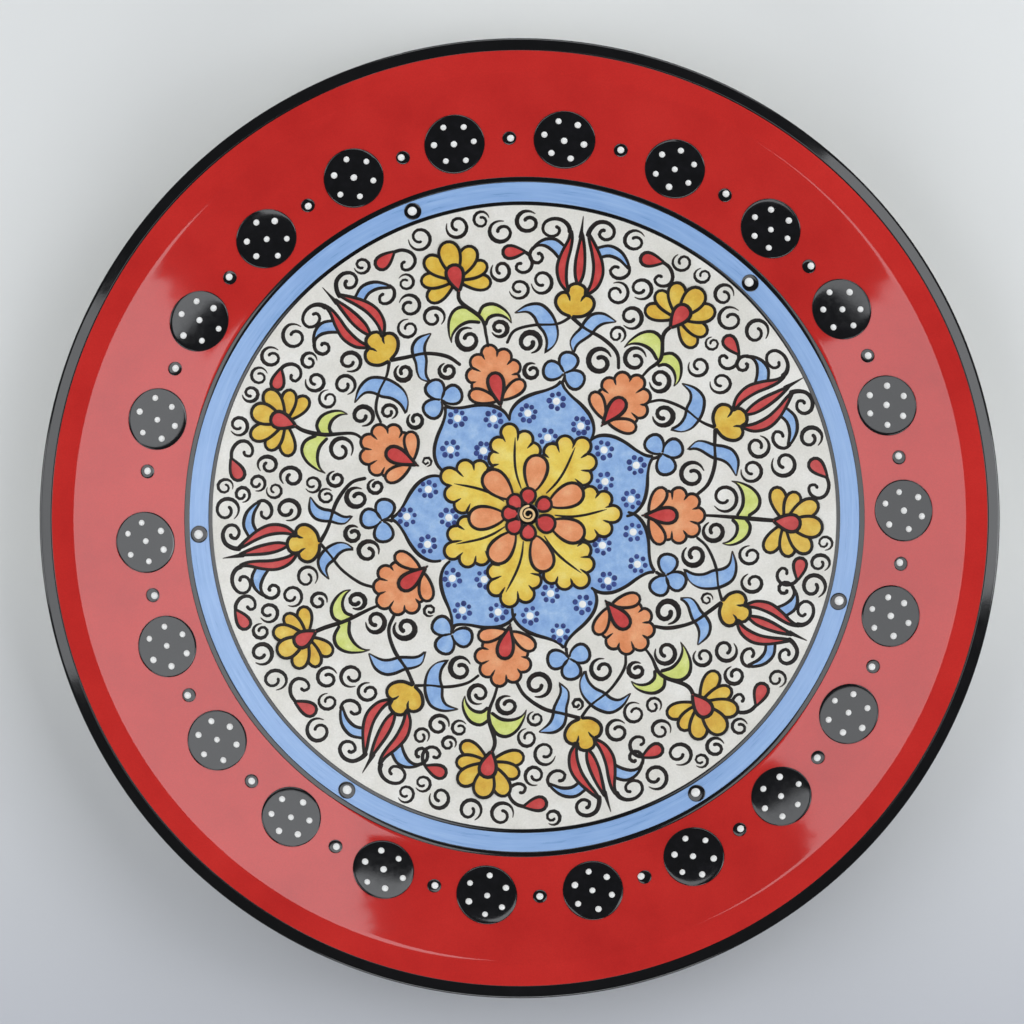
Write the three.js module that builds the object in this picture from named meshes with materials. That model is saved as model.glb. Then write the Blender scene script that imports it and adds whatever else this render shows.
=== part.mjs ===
// A hand painted ceramic dish on a foot ring, about 300 mm across, in millimetres with +Z up.
// The origin is at the middle of the foot's resting face. The dish is one fired clay body that
// carries separately laid glazes and raised enamels; each layer and each enamel is a mesh of its own.
import * as THREE from "three";

// Driving dimensions of the thrown clay body.
const DISH_RADIUS = 150; // to the outside of the glazed lip
const FLOOR_HEIGHT = 11.8; // of the clay face at its middle, above the resting face
const CLAY_STEPS = 60; // facets round the dish
// The face is a chain of arcs: each stretch runs out to a radius and ends at a slope in degrees.
const FACE_STRETCHES = [
  { to: 60, slope: 3.5 }, // nearly flat floor
  { to: 110, slope: 20.5 }, // well that curves up into the rim
  { to: 138, slope: 20.5 }, // straight sloping rim
  { to: 140.5, slope: 5 }, // soft crease
  { to: 150, slope: 5 }, // narrow outer margin
];
const RIM_WALL = 4.6; // clay thickness at the lip
const WELL_WALL = 6.6; // clay thickness over the foot
const FOOT = { outer: 84, restOuter: 82, restInner: 77, inner: 75.5, recess: 5.4, ceilingRise: 1.8 };
const FOOT_BEVEL = 0.8;

// Driving dimensions of the glazes and enamels.
const LAY_GAP = 0.25; // left under each layer
const GLAZE = 0.35; // thickness of a glaze layer
const BAND_OFFSET = new THREE.Vector2(1.4, 0.3); // the painter's centre, off the thrower's centre
const OFFSET_ENDS = { from: 126, to: 145 }; // the offset dies away between these radii
const LIP_BAND_INNER = 146.1;
const LIP_BAND_TURN = 150; // degrees round the lip from straight up to where the band stops
const RIM_INNER = 107.0;
const BORDER_LINE = { inner: 105.3, outer: 106.8 };
const BLUE_BORDER = { inner: 99.5, outer: 105.1 };
const INNER_LINE = { inner: 98.2, outer: 99.3 };
const MEDALLION_RADIUS = 98;

const DISC = { count: 22, ring: 118.9, radius: 9.6, height: 0.8, crown: 0.2, facets: 14 };
// The discs were spaced by eye: even gaps, but for a stretch of the round where they slip forwards.
const FIRST_DISC_ANGLE = 183.8;
const DISC_GAP = 16.11;
const SLIP = { degrees: 2.9, fromDisc: 13.5, toDisc: 17 };
const RIM_DOT = { radius: 2.2, height: 0.7, crown: 0.5, facets: 8 };
const BORDER_DOT = { ring: 102.3, radius: 2.7, height: 0.7, crown: 0.6, facets: 10 };
const BORDER_DOT_ANGLES = [46, 110, 183, 237, 302, 345]; // scattered by hand

const finish = (color, roughness) =>
  new THREE.MeshStandardMaterial({ color, roughness, metalness: 0 });
const FINISHES = {
  clay: finish("#c9b79c", 0.9),
  backGlaze: finish("#e9e6dc", 0.25),
  blackGlaze: finish("#100f12", 0.15),
  redGlaze: finish("#b81d1c", 0.12),
  blueGlaze: finish("#7ba9d6", 0.3),
  whiteGround: finish("#e5e3da", 0.4),
  blackEnamel: finish("#121114", 0.35),
};

const dish = new THREE.Group();

function addPiece(name, geometry, material) {
  const piece = new THREE.Mesh(geometry, material);
  piece.name = name;
  dish.add(piece);
}

// Height of the clay face at a radius. Along a circular arc the sine of the slope grows evenly with
// the radius, so each stretch adds (cos start - cos end) / (growth of the sine per millimetre).
function faceHeight(radius) {
  let height = FLOOR_HEIGHT;
  let start = { at: 0, sine: 0 };
  for (const stretch of FACE_STRETCHES) {
    const end = { at: stretch.to, sine: Math.sin(THREE.MathUtils.degToRad(stretch.slope)) };
    const growth = (end.sine - start.sine) / (end.at - start.at);
    const reach = Math.min(radius, end.at);
    const sine = start.sine + growth * (reach - start.at);
    const cosStart = Math.sqrt(1 - start.sine ** 2);
    const straight = Math.abs(growth) < 1e-9;
    height += straight
      ? ((reach - start.at) * sine) / cosStart
      : (cosStart - Math.sqrt(1 - sine ** 2)) / growth;
    if (radius <= end.at) return height;
    start = end;
  }
  return height;
}

// Radii where the face needs a ring of vertices, between two radii and with both of them.
function faceRadii(inner, outer) {
  const rings = [30, 60, 69, 78, 87, 98, 110, 138, 139.2, 140.5];
  return [inner, ...rings.filter((r) => r > inner + 0.5 && r < outer - 0.5), outer];
}

// A solid of revolution about Z from [radius, height] pairs that run anticlockwise round the section.
function turned(section, steps = CLAY_STEPS) {
  const points = section.map(([r, z]) => new THREE.Vector2(r, z));
  return new THREE.LatheGeometry(points, steps).rotateX(Math.PI / 2).scale(-1, 1, 1);
}

// Lays a shape that was built flat onto the clay face: it moves over by the painter's offset, which
// dies away towards the lip, and every vertex rises by the height of the face where it lands.
function drape(geometry) {
  const places = geometry.getAttribute("position");
  for (let i = 0; i < places.count; i++) {
    const radius = Math.hypot(places.getX(i), places.getY(i));
    const { from, to } = OFFSET_ENDS;
    const share = 1 - THREE.MathUtils.smoothstep(radius, from, to);
    const x = places.getX(i) + share * BAND_OFFSET.x;
    const y = places.getY(i) + share * BAND_OFFSET.y;
    places.setXYZ(i, x, y, places.getZ(i) + faceHeight(Math.hypot(x, y)));
  }
  return geometry;
}

// Points on the rounded lip of the clay, grown by a distance, between two angles from straight up.
function lipArc(grow, fromAngle, toAngle, steps) {
  const half = RIM_WALL / 2;
  const centre = { r: DISH_RADIUS - LAY_GAP - GLAZE - half, z: faceHeight(DISH_RADIUS - half) - half };
  return Array.from({ length: steps + 1 }, (_, i) => {
    const turn = THREE.MathUtils.degToRad(fromAngle + ((toAngle - fromAngle) * i) / steps);
    const reach = half + grow;
    return [centre.r + reach * Math.sin(turn), centre.z + reach * Math.cos(turn)];
  });
}

// Height of the clay's underside outside the foot, with the wall thinning evenly towards the lip.
function undersideHeight(radius) {
  const share = (radius - FOOT.outer) / (DISH_RADIUS - FOOT.outer);
  return faceHeight(radius) - THREE.MathUtils.lerp(WELL_WALL, RIM_WALL, share);
}

const UNDERSIDE_RADII = [146.8, 139, 124, 110, 97, 87];

function addClayBody() {
  const lip = lipArc(0, 10, 170, 4);
  const under = UNDERSIDE_RADII.map((r) => [r, undersideHeight(r)]);
  const foot = [
    [FOOT.outer, FOOT_BEVEL * 4],
    [FOOT.restOuter + FOOT_BEVEL, FOOT_BEVEL],
    [FOOT.restOuter, 0],
    [FOOT.restInner, 0],
    [FOOT.restInner - FOOT_BEVEL, FOOT_BEVEL],
    [FOOT.inner, FOOT.recess + FOOT.ceilingRise],
    [FOOT.inner / 2, FOOT.recess + FOOT.ceilingRise / 4],
    [0, FOOT.recess],
  ];
  const face = faceRadii(0, LIP_BAND_INNER - 0.3).map((r) => [r, faceHeight(r)]);
  addPiece("clay_body", turned([...face, ...lip, ...under, ...foot]), FINISHES.clay);
}

// A glaze layer between two radii of the face, closed back along its underside.
function glazeRing(inner, outer, lift = LAY_GAP, thickness = GLAZE) {
  const radii = faceRadii(inner, outer);
  const top = radii.map((r) => [r, lift + thickness]);
  const under = radii.map((r) => [r, lift]).reverse();
  const closing = inner > 0 ? [top[0]] : [];
  return drape(turned([...top, ...under, ...closing]));
}

function addFaceGlazes() {
  addPiece("medallion_ground", glazeRing(0, MEDALLION_RADIUS), FINISHES.whiteGround);
  addPiece("inner_border_line", glazeRing(INNER_LINE.inner, INNER_LINE.outer), FINISHES.blackGlaze);
  addPiece("blue_border", glazeRing(BLUE_BORDER.inner, BLUE_BORDER.outer), FINISHES.blueGlaze);
  addPiece("outer_border_line", glazeRing(BORDER_LINE.inner, BORDER_LINE.outer), FINISHES.blackGlaze);
  addPiece("rim_glaze", glazeRing(RIM_INNER, LIP_BAND_INNER - LAY_GAP), FINISHES.redGlaze);
}

function addLipBand() {
  const outside = lipArc(LAY_GAP + GLAZE, 0, LIP_BAND_TURN, 5);
  const inside = lipArc(LAY_GAP, 0, LIP_BAND_TURN, 5).reverse();
  const start = faceHeight(LIP_BAND_INNER) + LAY_GAP;
  const section = [[LIP_BAND_INNER, start + GLAZE], ...outside, ...inside, [LIP_BAND_INNER, start]];
  addPiece("lip_band", turned([...section, section[0]]), FINISHES.blackGlaze);
}

function addBackGlazes() {
  const radii = [...UNDERSIDE_RADII].reverse();
  const laid = radii.map((r) => [r, undersideHeight(r) - LAY_GAP]);
  const outside = laid.map(([r, z]) => [r, z - GLAZE]).reverse();
  const back = [...laid, ...outside];
  addPiece("back_glaze", turned([...back, back[0]]), FINISHES.backGlaze);

  const ceiling = (r) => FOOT.recess + FOOT.ceilingRise * (r / FOOT.inner) ** 2 - LAY_GAP;
  const edge = FOOT.inner - 1;
  const roof = [0, FOOT.inner / 2, edge].map((r) => [r, ceiling(r)]);
  const recess = [...roof, ...roof.map(([r, z]) => [r, z - GLAZE]).reverse()];
  addPiece("foot_recess_glaze", turned(recess), FINISHES.backGlaze);
}

// How far a step up the slope carries in plan, as the cosine of the slope.
function slopeShare(radius) {
  return 1 / Math.hypot(1, faceHeight(radius + 0.5) - faceHeight(radius - 0.5));
}

// A low crowned button of enamel, round as measured on the slope, centred on a ring of the painted
// face at an angle in degrees.
function enamelButton({ radius, height, crown, facets }, ring, angle) {
  const lift = 2 * LAY_GAP + GLAZE;
  const section = [
    [0, lift + height + crown],
    [radius * 0.6, lift + height + crown * 0.7],
    [radius * 0.93, lift + height * 0.75],
    [radius, lift],
    [0, lift],
  ];
  const turn = THREE.MathUtils.degToRad(angle);
  const button = turned(section, facets).scale(slopeShare(ring), 1, 1).rotateZ(turn);
  return drape(button.translate(ring * Math.cos(turn), ring * Math.sin(turn), 0));
}

function discAngle(k) {
  const slipped = THREE.MathUtils.smoothstep(k, SLIP.fromDisc, SLIP.toDisc);
  return FIRST_DISC_ANGLE + k * DISC_GAP + slipped * SLIP.degrees;
}

function addRimEnamels() {
  for (let k = 0; k < DISC.count; k++) {
    const label = String(k + 1).padStart(2, "0");
    const between = (discAngle(k) + discAngle(k + 1)) / 2;
    addPiece(`rim_disc_${label}`, enamelButton(DISC, DISC.ring, discAngle(k)), FINISHES.blackEnamel);
    addPiece(`rim_dot_${label}`, enamelButton(RIM_DOT, DISC.ring, between), FINISHES.blackEnamel);
  }
}

function addBorderDots() {
  BORDER_DOT_ANGLES.forEach((angle, k) => {
    const dot = enamelButton(BORDER_DOT, BORDER_DOT.ring, angle);
    addPiece(`border_dot_${k + 1}`, dot, FINISHES.blackEnamel);
  });
}

addClayBody();
addBackGlazes();
addFaceGlazes();
addLipBand();
addRimEnamels();
addBorderDots();

export default dish;
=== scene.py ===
"""A hand painted ceramic dish: a thrown body on a foot ring, glazed in bands, with raised enamel
buttons round the rim and a seven-part medallion of tulips, carnations, leaves and scrolls."""
from collections import defaultdict

import bpy
import numpy as np
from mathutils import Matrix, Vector


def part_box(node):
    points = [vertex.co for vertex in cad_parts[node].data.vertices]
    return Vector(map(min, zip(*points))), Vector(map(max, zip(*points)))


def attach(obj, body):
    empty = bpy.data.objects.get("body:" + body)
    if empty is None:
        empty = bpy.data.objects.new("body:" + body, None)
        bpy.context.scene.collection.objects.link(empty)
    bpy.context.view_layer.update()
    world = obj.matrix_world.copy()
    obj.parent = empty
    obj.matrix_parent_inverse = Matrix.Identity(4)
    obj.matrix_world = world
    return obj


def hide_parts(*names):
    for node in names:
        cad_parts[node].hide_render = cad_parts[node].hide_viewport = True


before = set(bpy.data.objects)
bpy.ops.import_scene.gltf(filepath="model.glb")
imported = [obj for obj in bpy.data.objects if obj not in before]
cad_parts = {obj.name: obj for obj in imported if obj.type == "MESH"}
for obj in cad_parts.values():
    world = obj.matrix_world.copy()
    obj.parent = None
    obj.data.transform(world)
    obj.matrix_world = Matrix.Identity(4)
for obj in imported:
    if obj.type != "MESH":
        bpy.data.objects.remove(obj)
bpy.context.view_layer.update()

# Sizes, in millimetres; the frame gives those of the turned dish that it holds ----------------
MM = 0.001


def node_box(node):
    """Lowest and highest corner of a frame node, in millimetres."""
    low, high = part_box(node)
    return np.array(low) / MM, np.array(high) / MM


GLAZE = 0.35  # thickness of a glaze layer
UNDER_GLAZE = 0.25  # from the clay to the underside of its glaze
LIP_TUBE = 2.9  # radius of the lip's rounded outer side, over its glaze
WELL_WALL, RIM_WALL = 6.6, 4.6
RADIUS = node_box("lip_band")[1][0]
LIP_CENTRE = np.array([RADIUS - LIP_TUBE, node_box("lip_band")[1][2] - LIP_TUBE])
FLOOR = node_box("medallion_ground")[0][2] + GLAZE
BAND_OFFSET = sum(node_box("blue_border"))[:2] / 2  # the painter's centre, off the thrower's
OFFSET_FROM, OFFSET_TO = 126.0, 145.0  # radii between which that offset dies away
# The face is a chain of arcs, each out to a radius and ending at a slope in degrees.
FACE_STRETCHES = ((60.0, 3.5), (110.0, 20.5), (138.9, 20.5), (139.6, 5.0), (150.0, 5.0))

LIP_INNER = 146.0
LIP_BEVEL = 17.6  # degrees the top of the lip falls outwards
CLAY_FACE_EDGE, CLAY_UNDER_EDGE, BACK_GLAZE_EDGE = 145.5, 146.6, 147.0
BORDER_LINE = (105.2, 106.9)
BLUE_BORDER = (99.2, 105.4)
INNER_LINE = (98.1, 99.35)
MEDALLION_RADIUS = 98.4
FOOT_OUTER, FOOT_REST_OUTER, FOOT_REST_INNER, FOOT_INNER = 84.0, 82.0, 77.0, 75.5
FOOT_RECESS, CEILING_RISE = 5.4, 1.8  # height of the recess, and how much it rises outwards

DISCS, DISC_RING, DISC_RADIUS, DISC_HEIGHT = 22, 118.9, 9.6, 0.45
FIRST_DISC_ANGLE, DISC_GAP = 183.8, 16.11
DISC_SLIP, SLIP_FROM, SLIP_TO = 2.9, 13.5, 17  # degrees the discs slip forwards between two discs
DISC_BEADS, BEAD_RING, BEAD_RADIUS, BEAD_HEIGHT = 6, 6.3, 1.0, 0.5
DOT_RADIUS, DOT_HEIGHT = 2.2, 0.35
BORDER_DOT_RING, BORDER_DOT_RADIUS = 102.3, 2.75
BORDER_DOT_ANGLES = (46, 110, 183, 237, 302, 345)

SECTORS = 7
STEP = 360.0 / SECTORS
CARNATION_TURN = -13.0  # the first carnation axis, clockwise from the top
TULIP_TURN = 12.9
PATTERN_OFFSET = np.array([1.35, 0.95])  # the medallion's centre from that of the bands
PAINT_SCALE = 1.012
SINK = 0.12  # how deep a painted shape is bedded in the glaze under it
PAD = 0.09  # thickness of a filled colour
LINE = 0.16  # height of a brush line
LEVEL = 0.16  # between one layer of painting and the next
OUTLINE = 1.04  # usual width of an outline

hand = np.random.default_rng(7)  # small unevenness of the painter's hand


# The glazed face and how painting is laid on it -------------------------------------------------
def rise(radius):
    """Height of the face over its middle. Along each arc the sine of the slope grows evenly with
    the radius, so a stretch adds (cos of its first slope - cos of the slope here) / growth."""
    height, start, sine = np.zeros_like(radius, dtype=float), 0.0, 0.0
    for end, slope in FACE_STRETCHES:
        end_sine = np.sin(np.radians(slope))
        growth = (end_sine - sine) / (end - start)
        reach = np.clip(radius, start, end) - start
        cosine = np.sqrt(1 - sine**2)
        if abs(growth) < 1e-9:
            height = height + reach * sine / cosine
        else:
            height = height + (cosine - np.sqrt(1 - (sine + growth * reach) ** 2)) / growth
        start, sine = end, end_sine
    return height


def ease(value, low, high):
    """A share that goes smoothly from 0 at low to 1 at high."""
    share = np.clip((value - low) / (high - low), 0, 1)
    return share * share * (3 - 2 * share)


def lay(points, lift):
    """Where painted points land: they move over by the painter's offset, which dies away towards
    the lip, and rise by the height of the face there and by their own lift. Gives metres."""
    share = 1 - ease(np.hypot(points[..., 0], points[..., 1]), OFFSET_FROM, OFFSET_TO)
    spot = points + share[..., None] * BAND_OFFSET
    height = FLOOR + rise(np.hypot(spot[..., 0], spot[..., 1])) + lift
    return np.concatenate([spot, height[..., None]], -1) * MM


def turned(points, clockwise):
    """Plane points turned clockwise about the origin by an angle in degrees."""
    turn = np.radians(clockwise)
    x, y = points[..., 0], points[..., 1]
    return np.stack([x * np.cos(turn) + y * np.sin(turn), y * np.cos(turn) - x * np.sin(turn)], -1)


def place(turn, spot=(0.0, 0.0), lean=0.0, size=1.0):
    """How a motif drawn upright at the origin is set in the medallion: leant and moved to a spot of
    its sector, which is turned clockwise about the pattern's centre."""
    spot = np.array(spot, float)
    return lambda points: PATTERN_OFFSET + PAINT_SCALE * turned(
        spot + size * turned(np.asarray(points, float), lean), turn)


# Closed surfaces on grids -----------------------------------------------------------------------
surfaces = defaultdict(list)  # piece name: (grid of points, pooling of the colour, ring)
taken = []  # plane points that painting covers, in millimetres


def keep_surface(piece, points, pool, ring=False):
    """Adds a closed surface. Its columns run round a section and meet; its rows meet too on a ring,
    and otherwise the first and the last row shrink to a pole."""
    surfaces[piece].append((points, np.broadcast_to(pool, points.shape[:2]), ring))


def grid_faces(rows, columns, ring):
    """Quads of such a grid, and the triangles that fan out from its two poles."""
    wide = rows if ring else rows - 3
    row, column = np.meshgrid(np.arange(wide), np.arange(columns), indexing="ij")
    beside, below = (column + 1) % columns, (row + 1) % rows if ring else row + 1
    quads = np.stack([row * columns + column, below * columns + column,
                      below * columns + beside, row * columns + beside], -1).reshape(-1, 4)
    if ring:
        return quads, np.zeros((0, 3), int)
    pole, last = (rows - 2) * columns, (rows - 3) * columns
    around = np.arange(columns)
    after = (around + 1) % columns
    first_fan = np.stack([np.full(columns, pole), around, after], -1)
    last_fan = np.stack([np.full(columns, pole + 1), last + after, last + around], -1)
    return quads, np.vstack([first_fan, last_fan])


def signed_volume(points, quads, triangles):
    """Six times the volume inside a closed surface, as a sum of one triple product for each
    triangle, taken from the middle of its points. Positive where the faces point outwards."""
    corners = np.vstack([quads[:, [0, 1, 2]], quads[:, [0, 2, 3]], triangles])
    a, b, c = (points[corners[:, i]] - points.mean(0) for i in range(3))
    return np.einsum("ij,ij->i", a, np.cross(b, c)).sum()


def mesh_of(piece):
    """One mesh from all the closed surfaces of a piece, with their pooling as an attribute."""
    points, pools, quads, triangles, count = [], [], [], [], 0
    for grid, pool, ring in surfaces[piece]:
        rows, columns = pool.shape
        if ring:
            vertices, colours = grid.reshape(-1, 3), pool.ravel()
        else:
            poles = np.array([grid[0].mean(0), grid[-1].mean(0)])
            vertices = np.vstack([grid[1:-1].reshape(-1, 3), poles])
            colours = np.concatenate([pool[1:-1].ravel(), [pool[0].mean(), pool[-1].mean()]])
        fours, threes = grid_faces(rows, columns, ring)
        if signed_volume(vertices, fours, threes) < 0:
            fours, threes = fours[:, ::-1], threes[:, ::-1]
        points.append(vertices)
        pools.append(colours)
        quads.append(fours + count)
        triangles.append(threes + count)
        count += len(vertices)
    quads, triangles = np.vstack(quads), np.vstack(triangles)
    mesh = bpy.data.meshes.new(piece)
    mesh.vertices.add(count)
    mesh.vertices.foreach_set("co", np.vstack(points).ravel())
    corners = np.concatenate([quads.ravel(), triangles.ravel()])
    sizes = np.concatenate([np.full(len(quads), 4), np.full(len(triangles), 3)])
    mesh.loops.add(len(corners))
    mesh.loops.foreach_set("vertex_index", corners)
    mesh.polygons.add(len(sizes))
    mesh.polygons.foreach_set("loop_start", np.concatenate([[0], np.cumsum(sizes)[:-1]]))
    mesh.polygons.foreach_set("use_smooth", np.ones(len(sizes), bool))
    pooling = mesh.attributes.new("pooling", "FLOAT", "POINT")
    pooling.data.foreach_set("value", np.concatenate(pools).astype(np.float32))
    mesh.update(calc_edges=True)
    return mesh


def finish_piece(piece, slot, finish, *nodes):
    """Makes the object of a piece from its surfaces, gives it its finish and sets it in the frame."""
    made = bpy.data.objects.new(piece, mesh_of(piece))
    bpy.context.scene.collection.objects.link(made)
    made.data.materials.append(finish)
    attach(made, "root")
    if nodes:
        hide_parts(*nodes)


# Brush work: lines, fills and buttons -----------------------------------------------------------
def through(points, count=25):
    """A smooth curve through points: between two of them a cubic, whose slope at each is half the
    step from the point before to the point after."""
    p = np.asarray(points, float)
    stretches = len(p) - 1
    p = np.vstack([2 * p[0] - p[1], p, 2 * p[-1] - p[-2]])
    at = np.linspace(0, stretches, count)
    i = np.minimum(at.astype(int), stretches - 1)
    f = (at - i)[:, None]
    a, b, c, d = p[i], p[i + 1], p[i + 2], p[i + 3]
    return 0.5 * (2 * b + (c - a) * f + (2 * a - 5 * b + 4 * c - d) * f**2
                  + (3 * b - a - 3 * c + d) * f**3)


EVEN_SHARE, CROWDED_SHARE = 0.45, 0.55


def evenly(path, count):
    """The same path in steps along its length that are even but for a share that follows a half
    cosine, so that they are closer together near both ends. Also gives the length so far."""
    along = np.concatenate([[0], np.cumsum(np.hypot(*np.diff(path, axis=0).T))])
    share = np.linspace(0, 1, count)
    share = EVEN_SHARE * share + CROWDED_SHARE * (0.5 - 0.5 * np.cos(np.pi * share))
    steps = share * along[-1]
    return np.stack([np.interp(steps, along, path[:, i]) for i in (0, 1)], -1), steps


# The section of a brush line, as directions from its middle; the last two points lie bedded.
BRUSH_SECTION = np.radians([180, 150, 115, 65, 30, 0, 0, 180])
WIDTH_DRIFT, DRIFT_LENGTH = 0.07, 2.3  # how a line swells and thins, and over what length
FULL_HALF_WIDTH = 0.35  # from this half width on a line has its full height
DENSE_HALF_WIDTH = 0.42  # and from this one its full colour


def brush(piece, path, width, level=0, step=0.8):
    """A raised brush line: half an oval carried along a path, as wide as the brush is pressed.
    width is one number or a few, from the line's start to its end. Both ends are rounded off."""
    length = np.hypot(*np.diff(path, axis=0).T).sum()
    count = int(np.clip(length / step, 7, 90))
    path, along = evenly(path, count)
    share = along / along[-1]
    half = np.interp(share, np.linspace(0, 1, np.size(width)), np.atleast_1d(width)) / 2
    drift = WIDTH_DRIFT * np.sin(along / DRIFT_LENGTH + hand.uniform(0, 6)) * hand.uniform(0.4, 1)
    half = half * (1 + drift)
    to_end = np.minimum(along, along[-1] - along)
    cap = np.sqrt(1 - (1 - np.clip(to_end / np.maximum(half, 0.2), 0, 1)) ** 2)
    forward = np.gradient(path, along, axis=0)
    sideways = np.stack([-forward[:, 1], forward[:, 0]], -1)
    sideways /= np.maximum(np.linalg.norm(sideways, axis=1, keepdims=True), 1e-9)
    across, up = np.cos(BRUSH_SECTION), np.sin(BRUSH_SECTION)
    spots = path[:, None] + sideways[:, None] * (half * cap)[:, None, None] * across[:, None]
    fullness = cap * np.clip(half / FULL_HALF_WIDTH, 0.35, 1)
    lift = level * LEVEL + LINE * fullness[:, None] * up
    lift[:, -2:] = -SINK
    thinness = np.clip(1 - half / DENSE_HALF_WIDTH, 0, 1)[:, None]
    keep_surface(piece, lay(spots, lift), np.repeat(thinness, len(BRUSH_SECTION), 1))
    for side in (0.9, -0.9):
        taken.append(path + sideways * half[:, None] * side)


def fill_between(piece, left, right, level=0, across=9):
    """A low pad of colour between two edges that run side by side and meet at both ends. Its
    thickness falls off steeply near the edges, and the colour pools there."""
    share = 0.5 - 0.5 * np.cos(np.linspace(0, np.pi, across))
    spots = left[:, None] * (1 - share[:, None]) + right[:, None] * share[:, None]
    off_middle = np.abs(2 * share - 1)
    ends = np.sin(np.linspace(0, np.pi, len(left))) ** 0.35
    lift = level * LEVEL + PAD * ends[:, None] * (1 - off_middle**6)
    pool = np.maximum(off_middle**3, 1 - ends[:, None])
    spots = np.concatenate([spots, spots[:, ::-1]], 1)
    lift = np.concatenate([lift, np.full_like(lift, -SINK)], 1)
    keep_surface(piece, lay(spots, lift), np.concatenate([pool, pool], 1))
    taken.append(spots[:, :across].reshape(-1, 2))


def fill_round(piece, outline, centre, level=0, thickness=PAD, crown=0.0):
    """A low pad of colour inside a closed outline: rings of it shrunk towards a centre. It is flat
    with a steep edge, and a crown adds a shallow dome."""
    out = np.array([0, 0.3, 0.55, 0.78, 0.92, 0.98, 1.0])  # size of each ring
    spots = centre + (outline - centre)[None] * out[:, None, None]
    lift = level * LEVEL + thickness * (1 - out**14) ** 0.5 + crown * (1 - out**2)
    spots = np.concatenate([spots, spots[[-1, 0]]])
    lift = np.concatenate([lift, np.full(2, -SINK)])
    pool = np.concatenate([out**4, [1, 1]])
    keep_surface(piece, lay(spots, np.repeat(lift[:, None], len(outline), 1)), pool[:, None])
    taken.append(spots[:len(out)].reshape(-1, 2))


def circle(centre, radius, count):
    """Points at even angles round a circle."""
    turn = np.linspace(0, 2 * np.pi, count, endpoint=False)
    return np.asarray(centre) + radius * np.stack([np.cos(turn), np.sin(turn)], -1)


EDGE_POINTS = 21


def egg(length, width, blunt):
    """Left and right edge of an egg from the origin up to +y: a half sine for its width, drawn
    towards the far end."""
    share = np.linspace(0, np.pi, EDGE_POINTS)
    x = np.sin(share) * (1 - blunt * np.cos(share))
    x *= width / 2 / x.max()
    y = length * (0.5 - 0.5 * np.cos(share))
    return np.stack([-x, y], -1), np.stack([x, y], -1)


def drop(length, width, point=0.75):
    """Edges of a drop with its point at the origin and its round end up at +y: the half sine of its
    width times a power of how far up it is."""
    share = np.linspace(0, np.pi, EDGE_POINTS)
    x = np.sin(share) * (0.5 - 0.5 * np.cos(share)) ** point
    x *= width / 2 / x.max()
    y = length * (0.5 - 0.5 * np.cos(share))
    return np.stack([-x, y], -1), np.stack([x, y], -1)


def moved(edges, spot=(0, 0), lean=0.0):
    """Both edges of a shape, leant clockwise about its base and moved to a spot."""
    return [np.array(spot) + turned(edge, lean) for edge in edges]


def around(left, right):
    """The outline of a shape from its two edges, from its base round its tip and back."""
    return np.vstack([left, right[::-1][1:]])


def painted(piece, edges, at, lines, level=0, width=OUTLINE):
    """Fills a shape between two edges and draws round it."""
    left, right = (at(edge) for edge in edges)
    fill_between(piece, left, right, level)
    brush(lines, around(left, right), width, level)


LOBE_RAYS = 240


def draw_lobed(piece, lines, at, heart, lobes, core, shown, cuts, level=0, cut=2.2, width=OUTLINE):
    """A shape with a lobed edge. Lobes are discs, as (angle from the tip, distance from the heart,
    radius) on both sides, over a core disc; along each ray from the heart the edge is the farthest
    of them: distance * cos + sqrt(radius^2 - (distance * sin)^2). Each lobe out to the angle shown
    is lined with its own stroke, and from the notches out to the angle cuts a line runs inwards."""
    angle = np.linspace(-180, 180, LOBE_RAYS, endpoint=False)
    far, owner = np.full(LOBE_RAYS, float(core)), np.full(LOBE_RAYS, np.inf)
    for turn, distance, radius in lobes:
        for side in (turn, -turn):
            off = np.radians(angle - side)
            inside = radius**2 - (distance * np.sin(off)) ** 2
            reach = distance * np.cos(off) + np.sqrt(np.maximum(inside, 0))
            wins = (inside > 0) & (np.cos(off) > 0) & (reach > far)
            far, owner = np.where(wins, reach, far), np.where(wins, side, owner)
    turn = np.radians(angle)
    outline = heart + far[:, None] * np.stack([np.sin(turn), np.cos(turn)], -1)
    fill_round(piece, at(outline[::2]), at(heart), level)
    seen = np.abs(owner) <= shown
    starts = np.flatnonzero(owner != np.roll(owner, 1))
    for start, end in zip(starts, np.roll(starts, -1)):
        if seen[start]:
            run = np.roll(outline, 1 - start, axis=0)[:(end - start) % LOBE_RAYS + 2]
            brush(lines, at(run), width, level, 0.6)
            if seen[start - 1] and abs(angle[start]) <= cuts:
                inwards = (heart - outline[start]) / np.linalg.norm(heart - outline[start])
                notch = outline[start] + inwards * np.array([[-0.5], [cut * hand.uniform(0.7, 1.2)]])
                brush(lines, at(notch), (1.1 * width, 0.9 * width, 0.3), level, 0.4)


# The medallion's motifs, each drawn upright in millimetres with its base at the origin ----------
FLOWERLETS = ((0.2, 37.2), (-8.3, 30.8), (9.0, 30.8), (0.3, 24.9))
EYE_RADIUS, FLOWERLET_RING = 1.15, 2.35


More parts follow.
